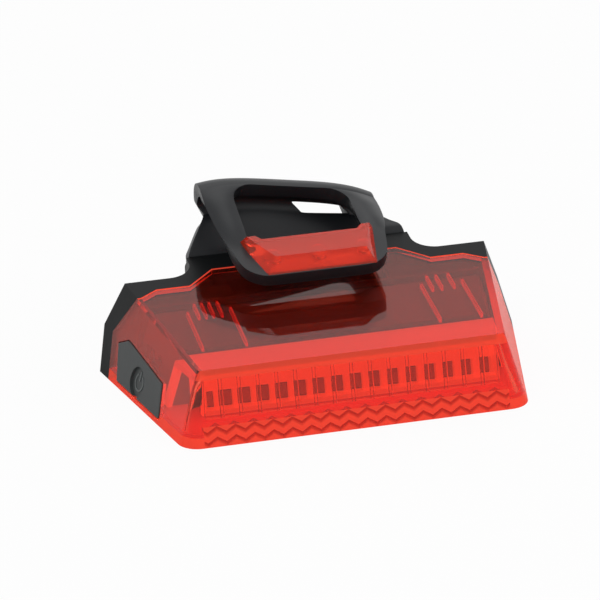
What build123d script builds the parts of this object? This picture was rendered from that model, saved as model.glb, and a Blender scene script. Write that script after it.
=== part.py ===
from build123d import *
from math import asin, atan2, cos, degrees, hypot, radians, sin
import os

os.makedirs("parts", exist_ok=True)

# Strap-on rear light for a bicycle. The origin is the middle of the lens base.
# +X runs along the width, +Y points back to the tube, +Z points up.

# Lens envelope: a hipped wedge with a sloping roof, leaning sides and a raked front
lens_depth = 30.0
rear_half_width = 34.0
front_half_width = 27.7
roof_rear_height = 14.6
roof_front_height = 11.5
side_lean = 4.6
front_rake = 3.0
base_corner_radius = 3.5
roof_corner_radius = 0.6
wall = 1.5
fit_gap = 0.2
rubber_gap = 0.3
overrun = 8.0

seam_y = lens_depth / 2
roof_slope = (roof_rear_height - roof_front_height) / lens_depth
side_taper = (rear_half_width - front_half_width) / lens_depth
lean_slope = side_lean / roof_rear_height
rake_slope = front_rake / roof_front_height

# Seam between lens and housing: bulges back on the sides, steps back in the middle of the roof
seam_bulge = 2.8
seam_bulge_height = 7.0
seam_corner_setback = 2.15
seam_corner_x = 28.5
seam_shoulder_x = 25.5
seam_step_x = 20.0
seam_tongue_x = 15.4
seam_tongue = 4.6

# Rear housing: a thin plate that follows the seam, with a thick block in the middle
plate_foot = 3.4
plate_bulge = 6.2
plate_top = 3.2
block_half_width = 18.6
block_back = 9.3
block_fillet = 4.0
fillet_share = 0.29
block_pocket_height = 7.0
block_pocket_width = 26.0
lip_inset = 3.1
lip_thickness = 1.0
lip_reach = 3.6
gasket_inset = 2.0
gasket_thickness = 0.8

# Rubber power button on the left side: corners along the side and up the side
button_outline_shares = [
    (0.105, 0.062), (0.023, 0.425), (0.127, 0.526), (0.182, 0.519), (0.609, 0.410), (0.656, 0.075),
    (0.640, 0.062),
]
button_proud = 0.2
button_depth = 1.2
button_travel = 0.4
dimple_along = 10.15
dimple_up = 3.4
dimple_radius = 2.5
dimple_depth = 0.5
stem_up = 5.4
stem_radius = 1.0
stem_length = 0.8

# Light strip behind the front face: columns, lights and their board
column_count = 16
column_pitch = 3.0
column_radius = 1.3
strip_thickness = 1.0
strip_low = 4.2
strip_high = 10.8
strip_margin = 0.6
trough_low = 4.5
tooth_height = 2.4
tooth_depth = 1.3
tooth_base_share = 0.9
trough_depth = 3.6
trough_wall = 0.7
flange_height = 8.8
cheek_low = 2.4
cheek_gap = 0.4
led_width = 1.6
led_height = 2.2
led_up = 6.5
led_depth = 0.8
led_board_thickness = 0.8

# Inner parts
tray_inset = 2.6
tray_wall = 1.0
tray_front = 17.0
tray_back = 4.4
battery_length = 36.0
battery_width = 11.0
battery_height_share = 0.315
battery_corner = 1.0
board_thickness = 0.8
board_front = 16.0
board_back = 4.6
post_margin = 2.4
post_right_margin = 5.25
board_left_share = 0.56
board_right_share = 0.765
chip_size = 4.0
chip_height = 0.9
roof_rib_width = 0.4
roof_rib_height = 0.8
long_rib_reach_shares = [0.23, 0.62]
comb_reach_shares = [0.15, 0.29]
long_rib_x_shares = [-0.647, -0.441, 0.485, 0.685]
comb_x_shares = [-0.600, -0.565, -0.530, -0.490, 0.530, 0.575, 0.635]
switch_size = 3.0
switch_height = 1.6
switch_board_size = 4.2
plunger_radius = 0.7
plunger_length = 1.9
running_gap = 0.05
wire_radius = 0.4
wire_bend = 1.6

# Charging port and its rubber cover, on a pad of the plate
port_width = 7.6
port_height = 2.6
port_wall = 0.35
pad_low = 5.9
pad_high = 12.2
pad_margin = 4.8
pad_back = 7.2
cover_thickness = 1.3
cover_plug = 1.4

# Screws
screw_radius = 0.8
screw_head_radius = 1.5
screw_head_height = 1.2
housing_screw_margin = 9.2
housing_screw_z = 4.85
boss_radius = 1.5
boss_length = 2.6
clamp_screw_x = 16.0
clamp_screw_z = 7.0

# Silicone strap: root, bend and windowed end
strap_thickness = 2.2
strap_root_half_width = 18.2
strap_bend_half_width = 14.4
strap_flange_half_width = 13.0
strap_flange_foot = 4.0
strap_bend_rise = 5.84
strap_bend_y = 11.2
strap_bend_radius = 3.4
strap_front_y = -8.5
strap_front_rise = 2.6
strap_roll = 2.4
ring_front_half_width = 11.4
ring_rear_half_width = 14.2
ring_corner = 3.6
ring_front_shift = -0.5
ring_rear_shift = -1.4
ring_arm = 3.4
ring_front_bar = 7.0
ring_rear_bar = 2.2
slot_low_x = 1.4
slot_high_x = 9.6
slot_height = 2.2

# Clamp plate and saddle pad behind the block
clamp_thickness = 2.2
clamp_half_width = 18.0
clamp_low = 1.0
clamp_high = 13.4
saddle_thickness = 3.4
saddle_half_width = 16.8
saddle_low = 1.8
saddle_high = 12.8
tube_radius = 15.0
hook_recess_height = 4.2
hook_recess_depth = 3.4
hook_half_width = 9.0
hook_thickness = 1.2

# Badge: a small red hipped lens on the front bar, held by studs
badge_half_front = 8.9
badge_half_back = 11.0
badge_back_shift = -0.9
badge_depth = 7.4
badge_height = 2.0
badge_slope = 2.2
badge_ear = 0.9
badge_ear_width = 1.4
stud_radius = 0.7
stud_head_radius = 1.1
stud_head_height = 0.5
stud_count = 3
stud_pitch = 7.4


def roof_z(y):
    return roof_rear_height + (y - seam_y) * roof_slope


def side_x(y, z):
    return rear_half_width - side_lean * z / roof_rear_height - (seam_y - y) * side_taper


def front_y(z):
    return seam_y - lens_depth + rake_slope * z


def outline_at(z, inset, radius):
    """One level of the envelope, rounded at the two front corners."""
    front = front_y(z) + inset
    back = seam_y + block_back + overrun
    with BuildSketch(Plane.XY.offset(z)) as level:
        with BuildLine():
            Polyline(
                (side_x(back, z) - inset, back), (side_x(front, z) - inset, front),
                (inset - side_x(front, z), front), (inset - side_x(back, z), back), close=True,
            )
        make_face()
        fillet(level.vertices().group_by(Axis.Y)[0], radius)
    return level.sketch


def envelope(inset, floor):
    """The hipped wedge, drawn in by an inset on its sides, front and roof."""
    head = roof_rear_height + overrun
    low_radius = max(base_corner_radius - inset, roof_corner_radius)
    with BuildPart() as body:
        add(outline_at(floor, inset, low_radius))
        add(outline_at(roof_front_height, inset, roof_corner_radius))
        add(outline_at(head, inset, roof_corner_radius))
        loft(ruled=True)
        roof = Plane(
            origin=(0, seam_y, roof_rear_height - inset), x_dir=(1, 0, 0), z_dir=(0, -roof_slope, 1),
        )
        split(bisect_by=roof, keep=Keep.BOTTOM)
    return body.part


def back_region(stations):
    """Everything behind a seam whose foot, bulge and top are given at stations along X."""
    with BuildPart() as region:
        for x, foot, bulge, top in stations:
            with BuildSketch(Plane.YZ.offset(x)):
                with BuildLine():
                    Polyline(
                        (seam_y + foot, -overrun), (seam_y + foot, 0),
                        (seam_y + bulge, seam_bulge_height), (seam_y + top, roof_z(seam_y + top)),
                        (seam_y + top, roof_rear_height + overrun),
                        (seam_y + block_back + 3 * overrun, roof_rear_height + overrun),
                        (seam_y + block_back + 3 * overrun, -overrun), close=True,
                    )
                make_face()
        loft(ruled=True)
    return region.part


def slab(x_low, x_high, y_low, y_high, z_low, z_high):
    """A plain block between two corners."""
    with BuildPart() as block:
        with Locations(((x_low + x_high) / 2, (y_low + y_high) / 2, (z_low + z_high) / 2)):
            Box(x_high - x_low, y_high - y_low, z_high - z_low)
    return block.part


side_span = rear_half_width + overrun
half_stations = [
    (side_span, 0, seam_bulge, -seam_corner_setback),
    (seam_corner_x, 0, seam_bulge, -seam_corner_setback),
    (seam_shoulder_x, 0, seam_bulge, 0),
    (seam_step_x, 0, seam_bulge, 0),
    (seam_tongue_x, 0, seam_bulge, seam_tongue),
]
seam_stations = [(-x, *rest) for x, *rest in half_stations] + half_stations[::-1]
behind_seam = back_region(seam_stations)
behind_plate = back_region(
    [(-side_span, plate_foot, plate_bulge, plate_top), (side_span, plate_foot, plate_bulge, plate_top)]
)
outer_body = envelope(0, 0)

# The left side face as a drawing plane: local X runs forward, local Y up, normal outwards
left_side = Plane(
    origin=(-rear_half_width, seam_y, 0), x_dir=(side_taper, -1, 0), z_dir=(-1, -side_taper, lean_slope),
)
side_height = hypot(roof_rear_height, side_lean)
button_points = [(u * lens_depth, v * side_height) for u, v in button_outline_shares]

# The front face as a drawing plane: local X runs right, local Y up, normal outwards
front_face = Plane(origin=(0, seam_y - lens_depth, 0), x_dir=(1, 0, 0), z_dir=(0, -1, rake_slope))
column_x = [(i - (column_count - 1) / 2) * column_pitch for i in range(column_count)]
strip_middle = (strip_low + strip_high) / 2
strip_height = strip_high - strip_low
strip_width = column_count * column_pitch - 2 * strip_margin
trough_middle = (trough_low + strip_high) / 2
trough_height = strip_high - trough_low
tooth_half = column_pitch * tooth_base_share / 2

# Light strip, teeth and trough depths behind the front face
strip_depth = wall + fit_gap
column_depth = strip_depth + strip_thickness
trough_start = column_depth + column_radius / 2 + fit_gap
trough_end = trough_start + trough_depth
led_board_depth = trough_end + led_depth / 2

# Heights of the stack under the roof, and what follows the width
battery_height = battery_height_share * roof_rear_height
board_left = board_left_share * rear_half_width
board_right = board_right_share * rear_half_width
port_x = board_right - port_width / 2
pad_outer_x = rear_half_width - pad_margin
housing_screw_x = rear_half_width - housing_screw_margin
battery_low = wall + fit_gap
board_low = battery_low + battery_height + fit_gap
board_high = board_low + board_thickness
tray_under = tray_inset + tray_wall

with BuildPart() as lens_cover:
    add(outer_body)
    add(envelope(wall, wall), mode=Mode.SUBTRACT)
    add(behind_seam, mode=Mode.SUBTRACT)
    # Screw bosses stand on the floor
    for side in (-1, 1):
        x = side * housing_screw_x
        add(slab(x - boss_radius / 2, x + boss_radius / 2, seam_y - lip_reach - boss_length,
                 seam_y - lip_reach, wall / 2, housing_screw_z))
        with BuildSketch(Plane.XZ.offset(lip_reach - seam_y)):
            with Locations((x, housing_screw_z)):
                Circle(boss_radius)
        extrude(amount=boss_length)
        with BuildSketch(Plane.XZ.offset(lip_reach - seam_y)):
            with Locations((x, housing_screw_z)):
                Circle(screw_radius + running_gap)
        extrude(amount=boss_length, mode=Mode.SUBTRACT)
    # Teeth inside the foot of the front wall
    with BuildSketch(front_face.offset(-wall)):
        for x in column_x:
            with BuildLine():
                Polyline(
                    (x - tooth_half, wall), (x + tooth_half, wall),
                    (x, wall + tooth_height - tooth_depth), close=True,
                )
            make_face()
    extrude(amount=-tooth_depth)
    # Ribs under the roof
    for share in long_rib_x_shares + comb_x_shares:
        x = share * rear_half_width
        is_long = share in long_rib_x_shares
        reach = long_rib_reach_shares if is_long else comb_reach_shares
        near = seam_y - lens_depth * reach[0]
        far = seam_y - lens_depth * reach[1]
        with BuildSketch(Plane.YZ.offset(x - roof_rib_width / 2)):
            with BuildLine():
                Polyline(
                    (near, roof_z(near) - wall / 2), (far, roof_z(far) - wall / 2),
                    (far, roof_z(far) - wall - roof_rib_height),
                    (near, roof_z(near) - wall - roof_rib_height), close=True,
                )
            make_face()
        extrude(amount=roof_rib_width)
    # Window for the power button
    with BuildSketch(left_side.offset(overrun)):
        with BuildLine():
            Polyline(*button_points, close=True)
        make_face()
        offset(amount=fit_gap)
    extrude(amount=-overrun - button_depth - button_travel - fit_gap, mode=Mode.SUBTRACT)
lens_cover.part.label = "lens_cover"
export_step(lens_cover.part, "parts/lens_cover.step")

# Rear housing
lip_ring = envelope(lip_inset, lip_inset) - envelope(lip_inset + lip_thickness, lip_inset + lip_thickness)
lip_zone = slab(-side_span, side_span, seam_y - lip_reach, seam_y + plate_foot, -overrun, side_span)
clamp_front = seam_y + block_back + strap_thickness
clamp_back = clamp_front + clamp_thickness
fillet_inset = block_fillet * fillet_share

# Block with hollow corners where it leaves the plate
with BuildPart() as block_blank:
    with BuildSketch():
        with BuildLine():
            wing = block_half_width + block_fillet
            start = seam_y + plate_foot / 2
            Polyline((-wing, seam_y + plate_top), (-wing, start), (wing, start), (wing, seam_y + plate_top))
            ThreePointArc(
                (wing, seam_y + plate_top),
                (block_half_width + fillet_inset, seam_y + plate_top + fillet_inset),
                (block_half_width, seam_y + plate_top + block_fillet),
            )
            Polyline(
                (block_half_width, seam_y + plate_top + block_fillet),
                (block_half_width, seam_y + block_back), (-block_half_width, seam_y + block_back),
                (-block_half_width, seam_y + plate_top + block_fillet),
            )
            ThreePointArc(
                (-block_half_width, seam_y + plate_top + block_fillet),
                (-block_half_width - fillet_inset, seam_y + plate_top + fillet_inset),
                (-wing, seam_y + plate_top),
            )
        make_face()
    extrude(amount=roof_rear_height + overrun)

with BuildPart() as rear_housing:
    add(outer_body)
    add(behind_seam, mode=Mode.INTERSECT)
    add(behind_plate, mode=Mode.SUBTRACT)
    add(lip_ring & lip_zone)
    # Block in the middle
    add(block_blank.part & outer_body & behind_seam)
    # Pad behind the plate for the charging port
    add(slab(block_half_width - wall, pad_outer_x, seam_y + plate_foot / 2, seam_y + pad_back,
             pad_low, pad_high) & behind_seam)
    # Hollow in the block, open to the front
    pocket_low = (roof_rear_height - block_pocket_height) / 2 + wall
    add(slab(-block_pocket_width / 2, block_pocket_width / 2, seam_y - lip_reach - overrun,
             seam_y + block_back - wall, pocket_low, pocket_low + block_pocket_height), mode=Mode.SUBTRACT)
    # Recess for the hook under the block
    add(slab(-hook_half_width - fit_gap * 2, hook_half_width + fit_gap * 2,
             seam_y + block_back - hook_recess_depth, seam_y + block_back + overrun,
             -overrun, hook_recess_height), mode=Mode.SUBTRACT)
    # Port slot
    port_middle = board_high + port_height / 2
    add(slab(port_x - port_width / 2 - fit_gap, port_x + port_width / 2 + fit_gap,
             seam_y - lip_reach - overrun, seam_y + pad_back + overrun, board_high - fit_gap,
             board_high + port_height + fit_gap), mode=Mode.SUBTRACT)
    # Bosses that meet the lens bosses
    for side in (-1, 1):
        with BuildSketch(Plane.XZ.offset(lip_reach - seam_y)):
            with Locations((side * housing_screw_x, housing_screw_z)):
                Circle(boss_radius + fit_gap)
        extrude(amount=-lip_reach - wall)
    # Screw holes: through the plate, and blind in the block for the clamp
    for side in (-1, 1):
        with BuildSketch(Plane.XZ.offset(lip_reach + overrun - seam_y)):
            with Locations((side * housing_screw_x, housing_screw_z)):
                Circle(screw_radius + fit_gap)
        extrude(amount=-lip_reach - overrun * 3, mode=Mode.SUBTRACT)
        with BuildSketch(Plane.XZ.offset(-plate_foot - seam_y)):
            with Locations((side * housing_screw_x, housing_screw_z)):
                Circle(screw_head_radius + fit_gap)
        extrude(amount=-overrun, mode=Mode.SUBTRACT)
        with BuildSketch(Plane.XZ.offset(wall * 2 - seam_y - block_back)):
            with Locations((side * clamp_screw_x, clamp_screw_z)):
                Circle(screw_radius + running_gap)
        extrude(amount=-wall * 2 - overrun, mode=Mode.SUBTRACT)
rear_housing.part.label = "rear_housing"
export_step(rear_housing.part, "parts/rear_housing.step")

with BuildPart() as housing_gasket:
    add(envelope(gasket_inset, gasket_inset))
    inner = gasket_inset + gasket_thickness
    add(envelope(inner, inner), mode=Mode.SUBTRACT)
    ring_zone = slab(-side_span, side_span, seam_y - lip_reach,
                     seam_y - lip_reach + gasket_thickness, -overrun, side_span)
    add(ring_zone, mode=Mode.INTERSECT)
housing_gasket.part.label = "housing_gasket"
export_step(housing_gasket.part, "parts/housing_gasket.step")

with BuildPart() as fluted_strip:
    with BuildSketch(front_face.offset(-column_depth)):
        with Locations((0, strip_middle)):
            Rectangle(strip_width, strip_height)
    extrude(amount=strip_thickness)
    with BuildSketch(Plane(origin=front_face.from_local_coords((0, strip_low, -column_depth)),
                           x_dir=(1, 0, 0), z_dir=front_face.y_dir)):
        for x in column_x:
            with Locations((x, 0)):
                Ellipse(column_radius, column_radius / 2)
    extrude(amount=strip_height)
fluted_strip.part.label = "fluted_strip"
export_step(fluted_strip.part, "parts/fluted_strip.step")

with BuildPart() as reflector:
    with BuildSketch(front_face.offset(-trough_start)):
        with Locations((0, trough_middle)):
            Rectangle(strip_width + 2 * trough_wall, trough_height)
    extrude(amount=-trough_depth)
    with BuildSketch(front_face.offset(-trough_start)):
        with Locations((0, trough_middle)):
            Rectangle(strip_width, trough_height - 2 * trough_wall)
    extrude(amount=trough_wall - trough_depth, mode=Mode.SUBTRACT)
    with BuildSketch(front_face.offset(-trough_start)):
        for x in column_x:
            with Locations((x, led_up)):
                Rectangle(led_width + fit_gap, led_height + 2 * fit_gap)
    extrude(amount=-trough_depth, mode=Mode.SUBTRACT)
    # Flange from the trough back to the tray, over the light board
    flange_front = front_y(flange_height + trough_wall) + trough_start + trough_wall / 2
    inside = envelope(wall + cheek_gap, 0)
    add(inside & slab(-side_span, side_span, flange_front, seam_y - tray_front - fit_gap,
                      flange_height, flange_height + trough_wall))
    # Cheeks under the flange, along the sides of the lens behind the light board
    cheek_front = front_y(flange_height) + led_board_depth + led_board_thickness + 2 * fit_gap
    cheek_zone = slab(-side_span, side_span, cheek_front, seam_y - tray_front - fit_gap,
                      cheek_low, flange_height + trough_wall)
    add((inside - envelope(wall + cheek_gap + trough_wall, -overrun / 4)) & cheek_zone)
reflector.part.label = "reflector"
export_step(reflector.part, "parts/reflector.step")

with BuildPart() as led_board:
    with BuildSketch(front_face.offset(-led_board_depth)):
        with Locations((0, trough_middle)):
            Rectangle(strip_width + 2 * trough_wall, trough_height)
    extrude(amount=-led_board_thickness)
led_board.part.label = "led_board"
export_step(led_board.part, "parts/led_board.step")

with BuildPart() as leds:
    with BuildSketch(front_face.offset(-led_board_depth)):
        for x in column_x:
            with Locations((x, led_up)):
                Rectangle(led_width, led_height)
    extrude(amount=led_depth)
leds.part.label = "leds"
export_step(leds.part, "parts/leds.step")

# Tray that carries the boards: a lid under the roof with walls and posts
tray_zone = slab(-side_span, side_span, seam_y - tray_front, seam_y - tray_back, -overrun, side_span)
tray_hollow_zone = slab(-side_span, side_span, seam_y - tray_front + tray_wall,
                        seam_y - tray_back + overrun, -overrun, side_span)
switch_middle = (dimple_along, stem_up)
post_places = [(-board_left + post_margin, seam_y - board_front + post_margin),
               (board_right - post_right_margin, seam_y - board_front + post_margin)]

with BuildPart() as battery_tray:
    add(envelope(tray_inset, battery_low) & tray_zone)
    add(envelope(tray_under, -overrun / 4) & tray_hollow_zone, mode=Mode.SUBTRACT)
    # Way through the left wall for the switch
    with BuildSketch(left_side):
        with Locations(switch_middle):
            Rectangle(switch_size * 2, switch_size * 2.4)
    extrude(amount=-overrun - wall, mode=Mode.SUBTRACT)
    # Way through the right wall for the board
    add(slab(board_right - overrun, side_span, seam_y - board_front - fit_gap, seam_y, board_low - fit_gap,
             board_high + fit_gap), mode=Mode.SUBTRACT)
    for x, y in post_places:
        with BuildSketch(Plane.XY.offset(board_high)):
            with Locations((x, y)):
                Circle(boss_radius)
        extrude(amount=roof_z(y) - tray_inset - tray_wall / 2 - board_high)
        with BuildSketch(Plane.XY.offset(board_high)):
            with Locations((x, y)):
                Circle(screw_radius + running_gap)
        extrude(amount=screw_head_height * 1.5, mode=Mode.SUBTRACT)
battery_tray.part.label = "battery_tray"
export_step(battery_tray.part, "parts/battery_tray.step")

with BuildPart() as main_board:
    add(slab(-board_left, board_right, seam_y - board_front, seam_y - board_back, board_low, board_high))
    with Locations(*[(x, y, board_high) for x, y in post_places]):
        Hole(screw_radius + fit_gap)
main_board.part.label = "main_board"
export_step(main_board.part, "parts/main_board.step")

with BuildPart() as board_screws:
    for x, y in post_places:
        with BuildSketch(Plane.XY.offset(board_low - screw_head_height / 2)):
            with Locations((x, y)):
                Circle(screw_head_radius)
        extrude(amount=screw_head_height / 2)
        with BuildSketch(Plane.XY.offset(board_low)):
            with Locations((x, y)):
                Circle(screw_radius)
        extrude(amount=board_thickness + screw_head_height)
board_screws.part.label = "board_screws"
export_step(board_screws.part, "parts/board_screws.step")

battery_middle_x = (board_right - board_left) / 2 - overrun / 4
with BuildPart() as battery_cell:
    add(slab(battery_middle_x - battery_length / 2, battery_middle_x + battery_length / 2,
             seam_y - board_back - battery_width, seam_y - board_back, battery_low,
             battery_low + battery_height - screw_head_height / 2))
    fillet(battery_cell.edges().filter_by(Axis.Z), battery_corner)
battery_cell.part.label = "battery_cell"
export_step(battery_cell.part, "parts/battery_cell.step")

chip_y = seam_y - board_back - chip_size
with BuildPart() as control_chips:
    with BuildSketch(Plane.XY.offset(board_high)):
        with Locations((-chip_size, chip_y), (chip_size * 2, chip_y)):
            Rectangle(chip_size, chip_size)
    extrude(amount=chip_height)
control_chips.part.label = "control_chips"
export_step(control_chips.part, "parts/control_chips.step")

with BuildPart() as small_parts:
    with BuildSketch(Plane.XY.offset(board_high)):
        for i in range(6):
            with Locations((-board_left + chip_size * (1.6 + i * 1.2), chip_y - chip_size * 0.9)):
                Rectangle(chip_size / 2, chip_size / 4)
    extrude(amount=chip_height / 2)
small_parts.part.label = "small_parts"
export_step(small_parts.part, "parts/small_parts.step")

# Wires run from the battery's left end straight up through the board's left side
wire_y = seam_y - board_back - battery_width / 2
wire_start_x = battery_middle_x - battery_length / 2
with BuildPart() as battery_wires:
    for shift in (-1, 1):
        y = wire_y + shift * wire_radius * 3
        low = battery_low + battery_height / 2
        turn_x = min(wire_start_x, -board_left) - wire_bend
        end_x = wire_bend * 2 - board_left
        top = board_high + wire_radius
        with BuildLine() as route:
            FilletPolyline(
                (wire_start_x, y, low), (turn_x, y, low), (turn_x, y, top + wire_bend),
                (end_x, y, top + wire_bend), (end_x, y, board_high),
                radius=wire_bend * 0.48,
            )
        with BuildSketch(Plane(origin=(wire_start_x, y, low), z_dir=(-1, 0, 0))):
            Circle(wire_radius)
        sweep(path=route.line)
battery_wires.part.label = "battery_wires"
export_step(battery_wires.part, "parts/battery_wires.step")

# Power button and switch, all square to the left side
with BuildPart() as power_button:
    with BuildSketch(left_side.offset(button_proud)):
        with BuildLine():
            Polyline(*button_points, close=True)
        make_face()
    extrude(amount=-button_proud - button_depth)
    outside = power_button.faces().sort_by(Axis(left_side.origin, left_side.z_dir))[-1]
    fillet(outside.edges(), button_proud * 0.8)
    with BuildSketch(left_side.offset(button_proud)):
        with Locations((dimple_along, dimple_up)):
            Circle(dimple_radius)
    extrude(amount=-dimple_depth, mode=Mode.SUBTRACT)
    with BuildSketch(left_side.offset(-button_depth)):
        with Locations(switch_middle):
            Circle(stem_radius)
    extrude(amount=-stem_length)
power_button.part.label = "power_button"
export_step(power_button.part, "parts/power_button.step")

plunger_start = button_depth + stem_length
switch_start = plunger_start + plunger_length - button_travel - 2 * fit_gap
switch_end = switch_start + switch_height

with BuildPart() as switch_plunger:
    with BuildSketch(left_side.offset(-plunger_start)):
        with Locations(switch_middle):
            Circle(plunger_radius)
    extrude(amount=-plunger_length)
switch_plunger.part.label = "switch_plunger"
export_step(switch_plunger.part, "parts/switch_plunger.step")

with BuildPart() as tact_switch:
    with BuildSketch(left_side.offset(-switch_start)):
        with Locations(switch_middle):
            Rectangle(switch_size, switch_size)
    extrude(amount=-switch_height)
    with BuildSketch(left_side.offset(-switch_start)):
        with Locations(switch_middle):
            Circle(plunger_radius + running_gap)
    extrude(amount=fit_gap - switch_height, mode=Mode.SUBTRACT)
tact_switch.part.label = "tact_switch"
export_step(tact_switch.part, "parts/tact_switch.step")

with BuildPart() as switch_board:
    with BuildSketch(left_side.offset(-switch_end)):
        with Locations(switch_middle):
            Rectangle(switch_board_size, switch_board_size)
    extrude(amount=-board_thickness * 0.75)
switch_board.part.label = "switch_board"
export_step(switch_board.part, "parts/switch_board.step")

# Charging socket: an open shell whose mouth lies in the slot of the pad
socket_back = seam_y + pad_back - cover_thickness / 2
socket_front = seam_y - board_back - port_height
with BuildPart() as usb_socket:
    add(slab(port_x - port_width / 2, port_x + port_width / 2, socket_front, socket_back,
             board_high, board_high + port_height))
    fillet(usb_socket.edges().filter_by(Axis.Y), port_height * 0.3)
    add(slab(port_x - port_width / 2 + 2 * port_wall, port_x + port_width / 2 - 2 * port_wall,
             socket_front + overrun / 4, socket_back + port_wall, board_high + port_wall,
             board_high + port_height - port_wall), mode=Mode.SUBTRACT)
usb_socket.part.label = "usb_socket"
export_step(usb_socket.part, "parts/usb_socket.step")

# Rubber port cover with a plug, and the anchor that its hinge line leaves from
cover_low = pad_low + fit_gap
cover_high = pad_high - fit_gap
cover_left = block_half_width + rubber_gap
cover_right = pad_outer_x - port_wall * 3
cover_front = seam_y + pad_back
cover_back = cover_front + cover_thickness
port_centre_z = board_high + port_height / 2

with BuildPart() as port_cover:
    add(slab(cover_left, cover_right, cover_front, cover_back, cover_low, cover_high))
    fillet(port_cover.edges().filter_by(Axis.Y).group_by(Axis.X)[0], cover_thickness)
    add(slab(port_x - port_width / 2 + 4 * port_wall, port_x + port_width / 2 - 4 * port_wall,
             cover_front - cover_plug, cover_front, port_centre_z - port_height / 4,
             port_centre_z + port_height / 4))
port_cover.part.label = "port_cover"
export_step(port_cover.part, "parts/port_cover.step")

with BuildPart() as cover_anchor:
    add(slab(cover_right, pad_outer_x, cover_front, cover_back, cover_low, cover_high))
cover_anchor.part.label = "cover_anchor"
export_step(cover_anchor.part, "parts/cover_anchor.step")

# Screws of the housing, driven from behind
with BuildPart() as housing_screws:
    for side in (-1, 1):
        with BuildSketch(Plane.XZ.offset(-seam_y - plate_foot)):
            with Locations((side * housing_screw_x, housing_screw_z)):
                Circle(screw_head_radius)
        extrude(amount=-screw_head_height)
        with BuildSketch(Plane.XZ.offset(-seam_y - plate_foot)):
            with Locations((side * housing_screw_x, housing_screw_z)):
                Circle(screw_radius)
        extrude(amount=plate_foot + lip_reach + boss_length - fit_gap)
housing_screws.part.label = "housing_screws"
export_step(housing_screws.part, "parts/housing_screws.step")

# Clamp plate with ears that reach the block and a hook under it
block_end = seam_y + block_back
hook_front = block_end - hook_recess_depth + hook_thickness / 2
with BuildPart() as strap_clamp:
    add(slab(-clamp_half_width, clamp_half_width, clamp_front, clamp_back, clamp_low, clamp_high))
    fillet(strap_clamp.edges().filter_by(Axis.Y), wall)
    for side in (-1, 1):
        ear_in = side * (strap_flange_half_width + fit_gap * 2)
        ear_out = side * (clamp_half_width - wall / 2)
        add(slab(min(ear_in, ear_out), max(ear_in, ear_out), block_end, clamp_front,
                 clamp_low + wall * 2, clamp_high - wall))
    add(slab(-hook_half_width, hook_half_width, hook_front, clamp_back, clamp_low,
             clamp_low + hook_thickness))
    add(slab(-hook_half_width, hook_half_width, hook_front, hook_front + hook_thickness,
             clamp_low, clamp_low + 2 * hook_thickness))
    for side in (-1, 1):
        with BuildSketch(Plane.XZ.offset(-clamp_back)):
            with Locations((side * clamp_screw_x, clamp_screw_z)):
                Circle(screw_radius + fit_gap)
        extrude(amount=overrun, mode=Mode.SUBTRACT)
        with BuildSketch(Plane.XZ.offset(-clamp_back)):
            with Locations((side * clamp_screw_x, clamp_screw_z)):
                Circle(screw_head_radius + fit_gap)
        extrude(amount=screw_head_height, mode=Mode.SUBTRACT)
strap_clamp.part.label = "strap_clamp"
export_step(strap_clamp.part, "parts/strap_clamp.step")

with BuildPart() as strap_screws:
    for side in (-1, 1):
        with BuildSketch(Plane.XZ.offset(-clamp_back)):
            with Locations((side * clamp_screw_x, clamp_screw_z)):
                Circle(screw_head_radius)
        extrude(amount=screw_head_height)
        with BuildSketch(Plane.XZ.offset(-clamp_back)):
            with Locations((side * clamp_screw_x, clamp_screw_z)):
                Circle(screw_radius)
        extrude(amount=clamp_back - block_end + wall * 1.8)
strap_screws.part.label = "strap_screws"
export_step(strap_screws.part, "parts/strap_screws.step")

# Saddle pad with a groove for the tube
saddle_middle = (saddle_low + saddle_high) / 2
with BuildPart() as saddle_pad:
    add(slab(-saddle_half_width, saddle_half_width, clamp_back, clamp_back + saddle_thickness,
             saddle_low, saddle_high))
    fillet(saddle_pad.edges().filter_by(Axis.Y), wall)
    with BuildSketch(Plane.YZ.offset(-side_span)):
        with Locations((clamp_back + saddle_thickness + tube_radius - wall, saddle_middle)):
            Circle(tube_radius)
    extrude(amount=2 * side_span, mode=Mode.SUBTRACT)
saddle_pad.part.label = "saddle_pad"
export_step(saddle_pad.part, "parts/saddle_pad.step")

# Silicone strap: the middle line of its side view, from the front tip over the bend to the foot
bend_y = seam_y + strap_bend_y
foot_y = block_end + strap_thickness / 2
foot_z = roof_z(block_end)
bend_z = foot_z + strap_bend_rise
tip_y = seam_y + strap_front_y
tip_z = roof_z(tip_y) + strap_front_rise + strap_thickness / 2
lean_angle = degrees(atan2(bend_z - foot_z, bend_y - foot_y)
                     - asin(strap_bend_radius / hypot(bend_z - foot_z, bend_y - foot_y)))
arm_angle = degrees(atan2(bend_z - tip_z, bend_y - tip_y)
                    + asin(strap_bend_radius / hypot(bend_z - tip_z, bend_y - tip_y)))


half_thick = strap_thickness / 2
inner_radius = strap_bend_radius - half_thick
outer_radius = strap_bend_radius + half_thick
strap_span = strap_root_half_width + fit_gap


def along(y, z, angle, distance, side):
    """A point at a distance along a direction, set off to one side of it."""
    a = radians(angle)
    return (y + distance * cos(a) - side * sin(a), z + distance * sin(a) + side * cos(a))


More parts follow.
